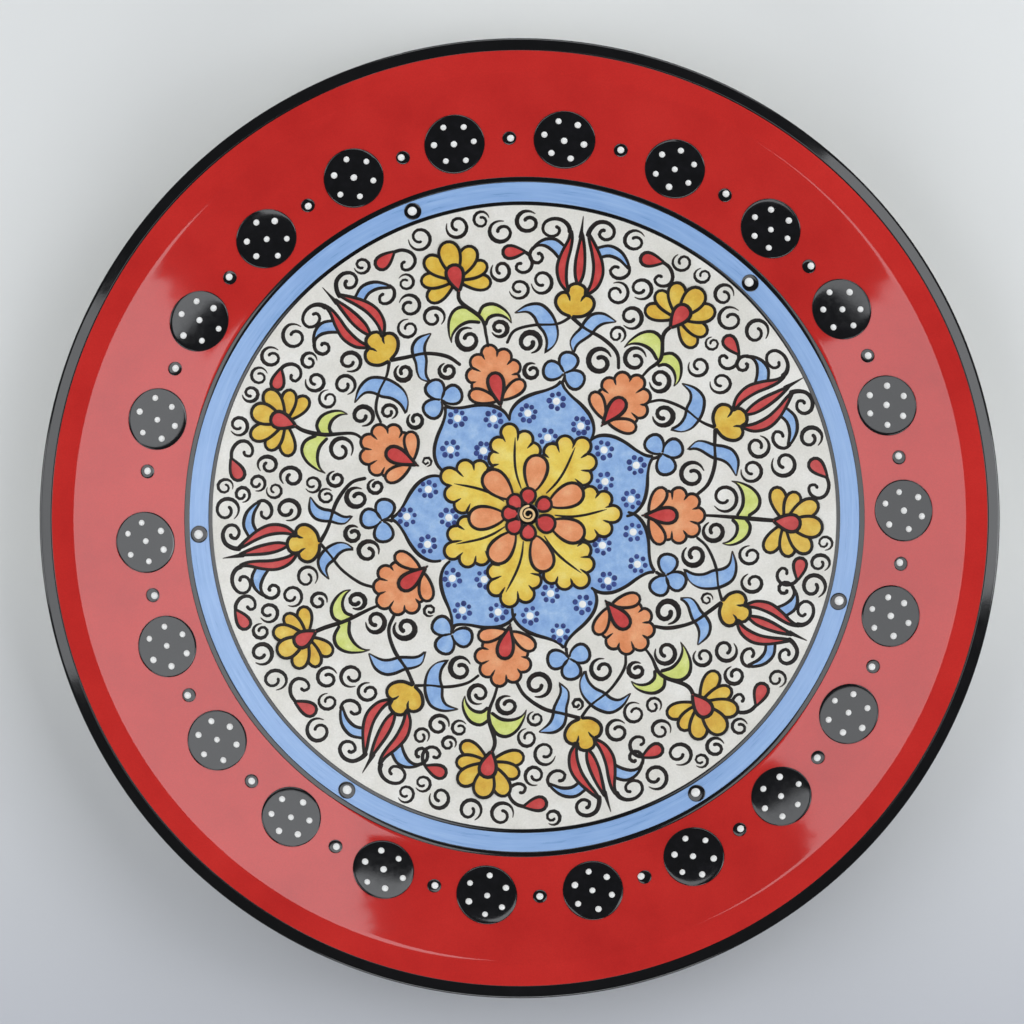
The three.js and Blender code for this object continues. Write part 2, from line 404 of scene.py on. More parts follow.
def draw_blue_petal(k, at):
    """A broad ogee petal from the centre flower, strewn with small flowerlets."""
    right = through([(1.5, 13), (8, 18.5), (12.0, 24.5), (13.3, 28.3), (13.0, 31.2), (11.2, 34.2),
                     (8.0, 36.8), (4.0, 39.0), (1.3, 41.0), (0, 43.0)], 46)
    left = right * (-1, 1)
    fill_between(f"blue_petal_{k}", at(left), at(right), across=13)
    for edge in (left, right):
        brush(f"petal_lines_{k}", at(edge[13:]), (0.9, 1.15, 1.3, 1.2, 1.0, 1.15))
    for spot in FLOWERLETS:
        spot = spot + hand.normal(0, 0.4, 2)
        turn = hand.uniform(0, 360)
        dots = 7 + int(hand.random() < 0.2)
        fill_round(f"flowerlet_eyes_{k}", at(circle(spot, EYE_RADIUS, 14)), at(spot), 0.4, 0.1, 0.08)
        for i in range(dots):
            out = turned(np.array([0, FLOWERLET_RING + hand.normal(0, 0.1)]), turn + 360 * i / dots)
            dot = circle(spot + out, hand.uniform(0.72, 0.95), 12)
            fill_round(f"flowerlet_dots_{k}", at(dot), at(spot + out), 0.4, 0.1, 0.06)


def draw_leaf_petal(k, at):
    """A yellow oak leaf with a curved rib, between the blue petals."""
    heart = np.array([0, 17.6])
    bend = 1 if k in (2, 3, 4, 7) else -1
    lobes = ((0, 8.9, 2.7), (36, 7.6, 2.6), (73, 6.3, 2.5), (108, 5.6, 2.5), (180, 7.0, 3.6))
    lobes = [(turn, far * hand.uniform(0.95, 1.05), radius) for turn, far, radius in lobes]
    draw_lobed(f"leaf_petal_{k}", f"petal_lines_{k}", at, heart, lobes, 6.2, 110, 100, 1.6, 3.0)
    rib = through([(0.3 * bend, 8.0), (0.8 * bend, 13), (0.3 * bend, 18), (-1.6 * bend, 25.4)])
    brush(f"petal_lines_{k}", at(rib), (0.5, 1.0, 1.1, 0.95, 0.35), 1.6)


def draw_centre_petals(k, at):
    """One orange egg of the centre flower."""
    painted(f"centre_petal_{k}", moved(egg(11.4, 7.2, 0.34), (0, 7.2)), at, f"petal_lines_{k}", 2.6,
            (0.7, 1.1, 1.1, 1.1, 0.7))


def draw_trefoil(k, at):
    """Three round lobes that meet on a blue petal's tip, with a short stalk."""
    for lean in (-101, 0, 101):
        lobe = [edge + (0, 0.4) for edge in egg(5.9, 5.6, 0.24)]
        painted(f"blue_leaves_{k}", moved(lobe, lean=lean + hand.normal(0, 3)), at,
                f"leaf_lines_{k}", 0, (0.7, 1.1, 1.1, 1.1, 0.7))
    brush(f"leaf_lines_{k}", at(through([(0, -3.4), (0.3, -1.8), (0, 0.6)], 9)), (1.2, 0.9, 0.7))


def draw_orange_carnation(k, at):
    """A scalloped fan over two side petals and a red heart."""
    heart = np.array([0, 8.9])
    lobes = ((0, 7.7, 2.5), (35, 7.2, 2.45), (72, 6.6, 2.4), (106, 5.2, 2.4), (180, 4.0, 3.2))
    lobes = [(turn, far * hand.uniform(0.96, 1.04), radius) for turn, far, radius in lobes]
    draw_lobed(f"orange_carnation_{k}", f"carnation_lines_{k}", at, heart, lobes, 5.4, 110, 100,
               0, 2.6)
    for side in (-1, 1):
        petal = egg(8.8, 4.4, 0.4)
        edges = moved(petal, (0.9 * side, 1.9), (64 + hand.normal(0, 3)) * side)
        painted(f"orange_carnation_{k}", edges, at, f"carnation_lines_{k}", 1)
    painted(f"carnation_heart_{k}", drop(10.4, 4.9), at, f"carnation_lines_{k}", 2, 1.2)
    brush(f"carnation_lines_{k}", at(np.array([[0, 1.8], [0, -0.9]])), (1.5, 0.5), 1)


def draw_yellow_carnation(k, at):
    """Seven full petals round a red heart."""
    petals = ((-112, 11.2, 5.2), (112, 11.0, 5.1), (-77, 10.8, 4.9), (77, 10.6, 4.9),
              (-41, 12.0, 5.7), (41, 12.1, 5.8), (0, 12.1, 6.7))
    for i, (lean, length, width) in enumerate(petals):
        edges = moved(drop(length * hand.uniform(0.95, 1.04), width, 0.6), (0, 4.0),
                      lean + hand.normal(0, 1.5))
        painted(f"yellow_carnation_{k}", edges, at, f"carnation_lines_{k}", 0.8 * (i // 2),
                1.08)
    painted(f"carnation_heart_{k}", moved(drop(8.7, 5.5, 0.6), (0, 0.2)), at,
            f"carnation_lines_{k}", 3.2, 1.2)


def draw_tulip(k, at):
    """A tulip of three red petals in a lobed calyx, with curled tips and a long middle spike."""
    lines = f"tulip_lines_{k}"
    petals = (
        ([(-1.8, 6.8), (-5.4, 10.0), (-7.0, 14.5), (-6.3, 19.3), (-4.9, 23.5), (-4.8, 26.8)],
         [(-1.8, 6.8), (-3.5, 11.0), (-4.1, 16.0), (-3.8, 20.5), (-3.9, 24.0), (-4.8, 26.8)]),
        ([(2.9, 6.8), (4.3, 11.0), (4.3, 16.0), (3.0, 20.5), (1.6, 23.8), (0.7, 26.6)],
         [(2.9, 6.8), (6.3, 10.2), (7.4, 14.7), (6.2, 19.0), (3.6, 23.0), (0.7, 26.6)]),
        ([(0.4, 9.6), (-1.0, 13.0), (-1.6, 17.0), (-1.5, 21.5), (-1.2, 26.4)],
         [(0.4, 9.6), (1.4, 13.0), (1.3, 16.8), (0.4, 21.5), (-1.2, 26.4)]))
    for left, right in petals:
        painted(f"tulip_petals_{k}", (through(left, 25), through(right, 25)), at, lines, 0, 1.1)
    left_curl = [(-4.8, 25.2), (-5.6, 27.4), (-7.8, 28.9), (-10.8, 28.9), (-13.2, 27.2),
                 (-13.2, 24.6), (-10.9, 23.4), (-8.6, 24.3), (-8.3, 26.1), (-9.9, 26.8)]
    right_curl = [(0.7, 25.0), (1.2, 27.6), (3.0, 30.0), (6.0, 30.5), (8.4, 28.9),
                  (8.4, 26.4), (6.2, 25.2), (4.2, 26.4), (4.9, 28.0), (6.1, 27.8)]
    brush(lines, at(through(left_curl, 60)), (1.7, 1.3, 1.1, 1.0, 1.0, 1.1))
    brush(lines, at(through(right_curl, 60)), (1.7, 1.4, 1.3, 1.15, 1.05, 1.2))
    brush(lines, at(through([(-1.3, 24.0), (-1.5, 28), (-1.7, 31.6)], 12)), (1.8, 0.9, 0.25))

    # Each side of the calyx is a round lobe and then half of the lobe in the middle.
    left = ([(0, 0), (-3.2, 0.8), (-5.4, 3.0), (-5.5, 5.3), (-4.0, 7.0), (-2.4, 6.9)],
            [(-2.2, 7.2), (-2.4, 8.6), (-1.5, 9.9), (0.4, 10.5)])
    right = ([(0, 0), (3.6, 0.8), (6.0, 3.1), (6.3, 5.6), (4.8, 7.2), (3.1, 7.1)],
             [(2.9, 7.4), (3.1, 8.8), (2.2, 9.9), (0.4, 10.5)])
    calyx = [np.vstack([through(lobe, 18), through(tip, 10)]) for lobe, tip in (left, right)]
    painted(f"tulip_calyx_{k}", calyx, at, lines, 1, 1.15)
    for cut in ([(-2.7, 7.3), (-1.7, 6.1), (-1.1, 4.4)], [(3.4, 7.5), (2.5, 6.3), (2.0, 4.8)]):
        brush(lines, at(np.array(cut)), (1.2, 1.0, 0.3), 1)

    upper = [(-5.6, 21.0), (-8.8, 22.7), (-11.9, 22.3), (-14.4, 20.4), (-15.8, 18.0)]
    lower = [(-6.6, 17.0), (-9.0, 19.0), (-11.8, 20.3), (-14.3, 19.9), (-15.8, 18.0)]
    draw_horn(k, at, "blue_leaves", lines, upper, lower)
    tail = [(-15.2, 19.6), (-16.1, 17.0), (-15.0, 14.9), (-12.9, 14.7), (-11.9, 16.3),
            (-12.9, 17.7), (-14.0, 17.1)]
    brush(lines, at(through(tail, 36)), (1.0, 1.25, 1.15, 1.2))
    upper = [(4.2, 22.3), (8.0, 23.6), (11.8, 22.4), (14.3, 19.7), (15.3, 17.4)]
    lower = [(5.6, 19.6), (8.4, 20.6), (11.6, 20.0), (14.0, 18.4), (15.3, 17.4)]
    draw_horn(k, at, "blue_leaves", lines, upper, lower)
    tail = [(15.0, 18.9), (15.4, 16.4), (13.7, 14.5), (11.2, 14.3), (9.5, 15.9), (10.6, 17.6),
            (12.4, 17.4)]
    brush(lines, at(through(tail, 36)), (1.0, 1.2, 1.05, 1.1))


def draw_horn(k, at, colour, lines, outer, inner, width=(1.0, 1.2, 0.9)):
    """A horn-shaped leaf between an outer and an inner curve that meet at its tip."""
    outer, inner = through(outer, 25), through(inner, 25)
    shared = (outer[0] + inner[0]) / 2
    left = np.vstack([shared, outer])
    right = np.vstack([shared, inner])
    fill_between(f"{colour}_{k}", at(left), at(right))
    brush(lines, at(outer), width)
    brush(lines, at(inner), width)


def draw_crescents(k, left_at, right_at):
    """The two blue crescents under the tulip, in front of which its stems cross."""
    width = (0.4, 1.05, 1.15, 0.95, 0.5, 0.95, 1.05, 1.05, 0.4)
    left = ([(-9.0, 1.3), (-5.6, 4.6), (-1.6, 5.8), (2.0, 4.0), (4.4, 1.2), (5.8, -2.2),
             (5.4, -5.6), (3.1, -8.6)],
            [(-9.0, 1.3), (-5.2, 2.6), (-2.7, 1.6), (-0.9, -0.6), (1.4, -2.4), (2.8, -4.6),
             (3.2, -6.6), (3.1, -8.6)])
    right = ([(8.0, 5.4), (3.6, 6.9), (0.2, 6.0), (-1.6, 3.6), (-2.6, 0.8), (-4.1, -1.6),
              (-4.7, -4.2), (-2.8, -7.4)],
             [(8.0, 5.4), (4.2, 4.0), (2.3, 2.2), (1.1, -0.2), (-0.4, -1.9), (-2.0, -3.6),
              (-2.8, -5.3), (-2.8, -7.4)])
    for at, (outer, inner) in ((left_at, left), (right_at, right)):
        painted(f"blue_leaves_{k}", (through(outer, 41), through(inner, 41)), at,
                f"leaf_lines_{k}", 0, width)


def draw_lime_leaves(k, at):
    """Two horn-shaped leaves on the stem between the carnations."""
    lines = f"leaf_lines_{k}"
    draw_horn(k, at, "lime_leaves", lines,
              [(-0.4, 3.4), (-3.0, 6.4), (-6.2, 6.8), (-9.0, 4.6), (-10.7, 0.8), (-11.2, -2.4)],
              [(-0.2, 0.0), (-3.6, 1.7), (-7.0, 1.6), (-9.5, 0.4), (-10.7, -1.0), (-11.2, -2.4)],
              (1.1, 1.25, 1.0, 0.35))
    draw_horn(k, at, "lime_leaves", lines,
              [(-0.2, 2.2), (2.4, 4.3), (5.6, 3.7), (7.8, 1.2), (8.8, -1.6), (8.4, -4.2)],
              [(0.6, -1.6), (2.4, 0.3), (5.0, 0.3), (6.9, -0.9), (8.0, -2.5), (8.4, -4.2)],
              (1.1, 1.25, 1.0, 0.35))


def draw_bud(k, at, tail):
    """A red bud: a drop lying on its side, with a tail that curls under."""
    painted(f"tulip_petals_{k}", moved(drop(7.6, 4.2, 0.7), (3.4, 0.9), -96), at,
            f"tulip_lines_{k}", 0, (0.9, 1.1, 1.2, 1.1, 0.9))
    brush(f"tulip_lines_{k}", at(through(tail, 40)), (1.2, 1.25, 1.1, 1.0, 1.1))


LEFT_TAIL = ((2.4, 1.0), (4.4, 0.0), (5.7, -2.4), (5.1, -4.9), (2.9, -6.0), (0.7, -5.0),
             (1.0, -3.3), (2.7, -3.0))
RIGHT_TAIL = ((2.4, 1.0), (5.4, -0.2), (7.2, -2.8), (6.6, -5.4), (4.0, -6.4), (2.0, -5.2),
              (2.8, -3.5), (4.3, -3.7))
# One scroll of size 1, from the thin tail round to the end inside.
SCROLL = ((-1.02, -0.5), (-0.56, -0.97), (0.1, -1.13), (0.76, -0.76), (1.0, -0.05), (0.72, 0.62),
          (0.06, 0.9), (-0.55, 0.68), (-0.76, 0.14), (-0.5, -0.3), (-0.04, -0.4), (0.32, -0.14))


def draw_scroll(piece, centre, size, turn, sense, press=1.0):
    """A comma scroll: from its tail it winds inwards by one turn and a third, pressed hardest at
    its outer side."""
    path = through(SCROLL, 64) * (sense, 1)
    path = centre + size * turned(path, turn) * (1, hand.uniform(0.9, 1.05))
    press = press * np.sqrt(size / 3.3) * hand.uniform(0.9, 1.15)
    brush(piece, path, np.array([0.3, 0.8, 1.15, 1.35, 1.3, 1.15, 1.05, 1.05, 1.1]) * press, 0, 0.9)


# The medallion: where each motif stands in its sector, with the unevenness of freehand work -----
# Tulips: base across and up in the sector, and lean in degrees.
TULIPS = ((-0.7, 63.0, -3), (1.0, 64.2, -1), (-1.7, 66.3, 2), (-1.8, 65.7, -2),
          (-5.5, 64.1, -5), (-9.0, 65.0, -6), (-4.0, 64.4, -1))
TULIP_SIZE = (1.0, 1.0, 0.92, 0.97, 1.0, 0.97, 0.98)
LEFT_BUDS = ((-22.0, 78.2, -8), (-19.3, 79.5, -6), (-20.7, 83.0, -10), (-20.6, 80.4, -8),
             (-26.6, 80.0, -10), (-32.0, 89.0, -28), (-34.0, 81.2, -32))
RIGHT_BUDS = ((20.4, 85.1, 4), (27.0, 87.2, -12), (19.8, 88.8, 0), (18.5, 88.0, 8),
              (17.3, 89.8, -4), (14.6, 90.7, -18), (15.1, 89.1, 2))
# The crescents under each tulip: middle across and up, lean, and size. Then where its stems end.
LEFT_CRESCENTS = ((-9.3, 58.8, 0, 1.0), (-7.6, 59.5, 0, 0.95), (-8.3, 60.2, 4, 1.03),
                  (-9.7, 60.1, 0, 1.02), (-12.0, 59.8, 0, 1.0), (-13.5, 61.0, 0, 0.78),
                  (-11.9, 57.7, 11, 1.05))
RIGHT_CRESCENTS = ((5.5, 59.2, 0, 1.0), (8.1, 60.1, 14, 1.04), (6.2, 60.6, 3, 0.94),
                   (4.5, 60.9, -5, 1.0), (2.6, 60.6, 9, 1.07), (0.1, 61.6, -16, 0.87),
                   (4.3, 57.9, -1, 0.92))
LEFT_FEET = ((-18.5, 50.2), (-15.3, 48.6), (-16.4, 50.2), (-20.0, 49.0), (-19.4, 48.6),
             (-22.9, 48.0), (-18.3, 50.6))
RIGHT_FEET = ((17.4, 50.2), (17.4, 49.8), (14.6, 50.0), (15.3, 50.0), (13.1, 50.5), (11.3, 50.4),
              (12.5, 49.3))
# Carnations, on their own axes: base across and up, and lean.
YELLOW_CARNATIONS = ((-5.4, 72.2, -1), (-1.4, 72.8, 0), (2.2, 76.0, 8), (-4.8, 75.5, 0),
                     (-5.1, 74.3, 0), (-3.9, 75.2, -6), (-6.4, 77.0, -6))
YELLOW_SIZE = (0.97, 0.97, 0.97, 0.96, 0.95, 0.88, 0.93)
ORANGE_CARNATIONS = ((-0.8, 34.9, 1), (0.8, 36.2, 1), (0.5, 36.0, 0), (-1.9, 36.6, -1),
                     (-2.1, 35.2, -1), (-1.0, 35.9, -13), (-1.2, 38.0, 0))
# Where the leaves meet the stem between the carnations, from its usual place.
LEAF_SHIFTS = ((1.4, -0.8), (1.3, -0.8), (-1.2, 0.0), (1.5, -1.0), (1.0, -0.8), (-1.6, 0.3),
               (-2.2, 0.3))
TREFOILS = ((1.2, 45.4, 3), (1.1, 45.8, 0), (-1.4, 46.9, -4), (-2.4, 46.6, 0),
            (-4.5, 44.2, -8), (-2.0, 45.6, 6), (1.0, 44.8, 8))
CENTRE_BEAD_TURNS = (0, 58, 118, 180, 229, 272, 313)
CENTRE_BEAD_SIZES = (1.0, 1.0, 1.2, 1.0, 1.02, 1.0, 0.98)
# Scrolls: across, up, size, where the tail starts in degrees, and the sense it winds in.
TULIP_SCROLLS = ((-20.5, 88.5, 3.5, 170, 1), (-27, 82.6, 3.6, 120, 1), (-10.8, 71.8, 3.3, 0, 1),
                 (-18.4, 67.8, 3.1, 0, 1), (11.6, 73.8, 3.3, 190, -1), (17.5, 67.6, 3.4, -40, 1),
                 (15.4, 91.3, 3.3, 190, 1), (20.5, 78.6, 3.7, -40, 1), (-19.5, 55.6, 3.2, -20, 1),
                 (-11.6, 52.4, 3.3, -60, 1), (11.0, 51.4, 3.7, 160, 1), (22.5, 58.5, 3.9, -40, 1),
                 (-8.2, 43.2, 2.9, 150, 1), (9.8, 43.4, 2.7, 190, -1), (-0.4, 59.0, 2.6, 120, 1))
CARNATION_SCROLLS = ((-14.0, 91.8, 3.5, 60, 1), (-3.0, 93.0, 3.3, 70, 1), (7.4, 92.2, 3.1, 200, 1),
                     (11.3, 85.8, 3.5, -20, 1), (19.4, 88.6, 3.5, 190, -1), (8.6, 77.6, 3.0, 80, 1),
                     (-20.6, 80.0, 3.0, 190, -1), (-20.0, 67.6, 3.4, 90, 1), (-6.6, 58.0, 3.4, 160, 1),
                     (5.2, 58.6, 3.0, 190, -1), (-6.4, 38.6, 2.4, 0, 1), (4.6, 37.2, 2.5, 190, 1),
                     (11.6, 41.8, 2.7, 0, 1), (-11.5, 42.4, 2.6, 120, -1), (-14.0, 72.8, 2.8, 90, 1),
                     (12.0, 69.4, 3.0, 20, 1), (21.0, 68.4, 3.2, -20, 1), (12.2, 52.6, 3.4, 10, 1))
# Small scrolls at the feet of some orange carnations: across, up, and sector.
SMALL_SCROLLS = ((-16.2, 35.0, 7), (-4.2, 35.6, 7), (-32.3, 15.8, 6), (-39.6, -8.6, 5),
                 (-30.7, -14.4, 5))
SMALL_SIZE, SMALLEST_SCROLL, LARGEST_FILLER, SCROLL_GAP = 2.0, 2.45, 3.5, 0.85
WANDER = 2.4  # how far a scroll may move, along each axis, to where it fits
BOLD_WITHIN, BOLDNESS = 62.0, 1.25  # the scrolls near the middle are painted with a fuller brush
FILLER_STEP, FILLER_REACH, FILLER_FREE = 4.8, 96, 30  # the grid fillers are tried on, and its hole


def draw_stem(k, base, foot, turn, leaf_shift):
    """The stem from the orange carnation's top to the yellow one's base, and its pair of leaves."""
    base, foot = np.array(base), np.array(foot)
    joint = 0.52 * base + 0.48 * foot + (0.9, -1.0) + leaf_shift
    path = through([foot - (0, 0.6), foot + (0.2, 3.5), joint + (0.2, 1.2), base - (0.3, 3.0),
                    base + (0, 1.2)], 30)
    brush(f"leaf_lines_{k}", place(turn)(path), (0.8, 1.1, 1.4, 1.4, 1.3))
    lean = np.degrees(np.arctan2(*(base - foot))) * 0.7
    draw_lime_leaves(k, place(turn, joint, lean))


def draw_tulip_stem(k, at, foot, base, bow, way, arrival, width):
    """A stem from its foot to a tulip's base: it sets out along bow, passes a point part of the way
    across and up, and comes in from arrival."""
    (a, b), (x, y) = foot, base
    stem = through([(a, b), (a + bow[0], b + bow[1]), (a + way[0] * (x - a), b + way[1] * (y - b)),
                    (x + arrival[0], y + arrival[1]), (x, y)], 30)
    brush(f"leaf_lines_{k}", at(stem), width)


def draw_sector(k):
    """Everything between one carnation axis and the next tulip axis."""
    i = k - 1
    tulip, carnation = TULIP_TURN + STEP * i, CARNATION_TURN + STEP * i
    x, y, lean = TREFOILS[i]
    draw_blue_petal(k, place(tulip, (0.7 * x, 0.35 * (y - 45.6))))
    draw_leaf_petal(k, place(carnation, size=hand.uniform(0.97, 1.03)))
    draw_centre_petals(k, place(tulip - 3.5, lean=hand.normal(0, 2)))
    draw_trefoil(k, place(tulip, (x, y), lean, 1.06))
    x, y, lean = ORANGE_CARNATIONS[i]
    draw_orange_carnation(k, place(carnation, (x, y), lean))
    top = np.array([x, y]) + turned(np.array([0, 19.0]), lean)
    x, y, lean = YELLOW_CARNATIONS[i]
    draw_stem(k, (x, y), top, carnation, LEAF_SHIFTS[i])
    draw_yellow_carnation(k, place(carnation, (x, y), lean, YELLOW_SIZE[i]))
    x, y, lean = TULIPS[i]
    left, right = LEFT_CRESCENTS[i], RIGHT_CRESCENTS[i]
    draw_crescents(k, place(tulip, left[:2], *left[2:]), place(tulip, right[:2], *right[2:]))
    draw_tulip(k, place(tulip, (x, y), lean, TULIP_SIZE[i]))
    draw_tulip_stem(k, place(tulip), LEFT_FEET[i], (x, y), (1.5, 4.6), (0.4, 0.6), (-3.8, -3.2),
                    (0.9, 1.0, 1.0, 0.85, 1.1))
    draw_tulip_stem(k, place(tulip), RIGHT_FEET[i], (x, y), (-1.7, 5.0), (0.38, 0.65), (5.0, -2.6),
                    (1.1, 1.25, 1.25, 1.2, 1.3))
    x, y, lean = LEFT_BUDS[i]
    draw_bud(k, place(tulip, (x, y), lean, 0.95), LEFT_TAIL)
    x, y, lean = RIGHT_BUDS[i]
    draw_bud(k, place(tulip, (x, y), lean), RIGHT_TAIL)


CENTRE_RADIUS, CENTRE_EYE_RADIUS = 9.4, 3.4
COIL_START, COIL_TURN = 80, 640  # degrees
COIL_OUTER, COIL_PITCH = 2.55, 1.9


def draw_centre():
    """The ground of the centre flower, its red beads, and the pale coil in its dark eye."""
    at, middle = place(0), np.zeros(2)
    fill_round("centre_ground", at(circle(middle, CENTRE_RADIUS, 40)), at(middle), 1)
    for turn, size in zip(CENTRE_BEAD_TURNS, CENTRE_BEAD_SIZES):
        bead = moved(egg(4.9 * size, 4.6 * size, 0.15), (0, 3.2))
        painted("centre_beads", bead, place(turn), "centre_lines", 3.6, 1.0)
    fill_round("centre_eye", at(circle(middle, CENTRE_EYE_RADIUS, 40)), at(middle), 4.6, 0.1)
    share = np.linspace(0, 1, 90)
    turn = np.radians(COIL_START + COIL_TURN * share)
    reach = COIL_OUTER - COIL_PITCH * share**1.1
    coil = reach[:, None] * np.stack([np.cos(turn), np.sin(turn)], -1)
    brush("centre_coil", at(coil), (0.7, 0.85, 0.7, 0.5), 5.2, 0.4)


CELL, MAP_REACH = 0.5, 110.0  # the map of painted ground: its cells, and half its width


def covered():
    """A map of the medallion in small cells, true where painting or a border lies."""
    count = int(2 * MAP_REACH / CELL)
    cells = np.zeros((count, count), bool)
    spots = np.vstack(taken)
    x, y = np.clip(((spots + MAP_REACH) / CELL).astype(int), 0, count - 1).T
    cells[x, y] = True
    middle = (np.arange(count) + 0.5) * CELL - MAP_REACH
    cells |= np.hypot(*np.meshgrid(middle, middle, indexing="ij")) > INNER_LINE[0] - 0.2
    return cells


def roomiest(cells, spot, size, wander):
    """The place near a spot with the most room round it, up to a size, and that room."""
    window = size + wander + 1.5
    low = np.maximum(((np.array(spot) - window + MAP_REACH) / CELL).astype(int), 0)
    high = low + int(2 * window / CELL)
    near = np.argwhere(cells[low[0]:high[0], low[1]:high[1]])
    near = (near + low + 0.5) * CELL - MAP_REACH
    step = np.arange(-wander, wander + 0.1, 0.6)
    tries = np.array(spot) + np.stack(np.meshgrid(step, step, indexing="ij"), -1).reshape(-1, 2)
    if not len(near):
        return np.array(spot), size
    room = np.sqrt(((tries[:, None] - near[None]) ** 2).sum(-1).min(1)) - SCROLL_GAP
    score = np.minimum(room, size) - 0.12 * np.hypot(*(tries - spot).T)
    best = score.argmax()
    return tries[best], min(room[best], size)


def draw_scrolls():
    """Scrolls on the free ground: first those of the pattern, each moved to where it fits, and
    then fillers wherever a hole is left."""
    cells = covered()
    middle = (np.arange(len(cells)) + 0.5) * CELL - MAP_REACH
    across, up = np.meshgrid(middle, middle, indexing="ij")

    def try_scroll(k, spot, size, start, sense, wander):
        """Paints a scroll of sector k near a spot if it has room, and marks its ground as used."""
        found, room = roomiest(cells, spot, size, wander)
        if room >= min(SMALLEST_SCROLL, 0.65 * size):
            press = BOLDNESS if np.hypot(*(found - PATTERN_OFFSET)) < BOLD_WITHIN else 1.0
            draw_scroll(f"scrolls_{k}", found, 0.95 * room, start, sense, press)
            cells[np.hypot(across - found[0], up - found[1]) < room * 1.05 + 0.3] = True

    for x, y, k in SMALL_SCROLLS:
        try_scroll(k, place(0)(np.array([x, y])), SMALL_SIZE, hand.uniform(0, 360), 1, WANDER / 2)
    for rows, first in ((TULIP_SCROLLS, TULIP_TURN), (CARNATION_SCROLLS, CARNATION_TURN)):
        for k in range(1, SECTORS + 1):
            turn = first + STEP * (k - 1)
            for x, y, size, start, sense in rows:
                start_here = start + turn + hand.normal(0, 18)
                try_scroll(k, place(turn)(np.array([x, y])), size, start_here, sense, WANDER)
    grid = np.arange(-FILLER_REACH, FILLER_REACH + 1, FILLER_STEP)
    for x, y in ((x, y) for x in grid for y in grid if np.hypot(x, y) > FILLER_FREE):
        clockwise = 90 - np.degrees(np.arctan2(y, x))
        k = int((clockwise - TULIP_TURN + STEP / 2) % 360 // STEP) + 1
        try_scroll(k, (x, y), LARGEST_FILLER, hand.uniform(0, 360), 1, WANDER)


# The turned dish: clay, glazes and bands --------------------------------------------------------
ROUND = 288  # steps round the dish


def spun(piece, section, ring=True):
    """A solid of revolution about the dish's own axis: a section of (radius, height) points in
    millimetres carried round it. Without ring, the section runs from the axis back to the axis."""
    section = np.asarray(section, float)
    turn = np.linspace(0, 2 * np.pi, ROUND, endpoint=False)
    spots = np.stack([section[:, 0, None] * np.cos(turn), section[:, 0, None] * np.sin(turn),
                      np.repeat(section[:, 1, None], ROUND, 1)], -1) * MM
    points = spots.transpose(1, 0, 2) if ring else spots
    keep_surface(piece, points, 0.0, ring)


def lip_arc(reach, first, last, steps):
    """Points round the lip at a distance from its centre, by angle from straight up."""
    turn = np.radians(np.linspace(first, last, steps))
    return LIP_CENTRE + reach * np.stack([np.sin(turn), np.cos(turn)], -1)


def underside(radius):
    """Height of the clay's underside: the face less a wall that thins towards the lip."""
    share = (radius - FOOT_OUTER) / (RADIUS - FOOT_OUTER)
    wall = WELL_WALL + (RIM_WALL - WELL_WALL) * share
    return FLOOR - GLAZE - UNDER_GLAZE + rise(radius) - wall


EDGE_ROUNDING = np.radians([18, 54, 90])


def band(piece, inner, outer, lift=0.0, edge=0.25, wobble=0.0, rings=1.6):
    """A glaze band on the painter's circles: a thin section with rounded edges carried round,
    where both its edges wander a little. An inner radius of 0 makes a whole disc."""
    count = max(3, int((outer - inner) / rings))
    radii = np.linspace(inner + (edge if inner else 0), outer - edge, count)
    rim, fall = edge * np.sin(EDGE_ROUNDING), edge * (1 - np.cos(EDGE_ROUNDING))
    out_r, out_z = outer - edge + rim, lift - fall
    top = np.concatenate([radii, out_r]), np.concatenate([np.full(count, lift), out_z])
    if inner:
        top = (np.concatenate([(inner + edge - rim)[::-1], top[0]]),
               np.concatenate([(lift - fall)[::-1], top[1]]))
    radius = np.concatenate([top[0], top[0][::-1]])
    height = np.concatenate([top[1], np.full(len(top[0]), lift - edge - GLAZE)])
    turn = np.linspace(0, 2 * np.pi, ROUND, endpoint=False)
    phase = hand.uniform(0, 6, 3)
    wander = wobble * (np.sin(3 * turn + phase[0]) + 0.6 * np.sin(7 * turn + phase[1])
                       + 0.3 * np.sin(17 * turn + phase[2]))
    share = np.ones_like(radius) if inner else radius / outer
    far = radius[:, None] + wander * share[:, None]
    spots = np.stack([far * np.cos(turn), far * np.sin(turn)], -1)
    points = lay(spots, np.repeat(height[:, None], ROUND, 1))
    keep_surface(piece, points.transpose(1, 0, 2) if inner else points, 0.0, bool(inner))


def ceiling(radius):
    """Height of the recess inside the foot ring, which rises outwards with the radius squared."""
    return FOOT_RECESS + CEILING_RISE * (radius / FOOT_INNER) ** 2


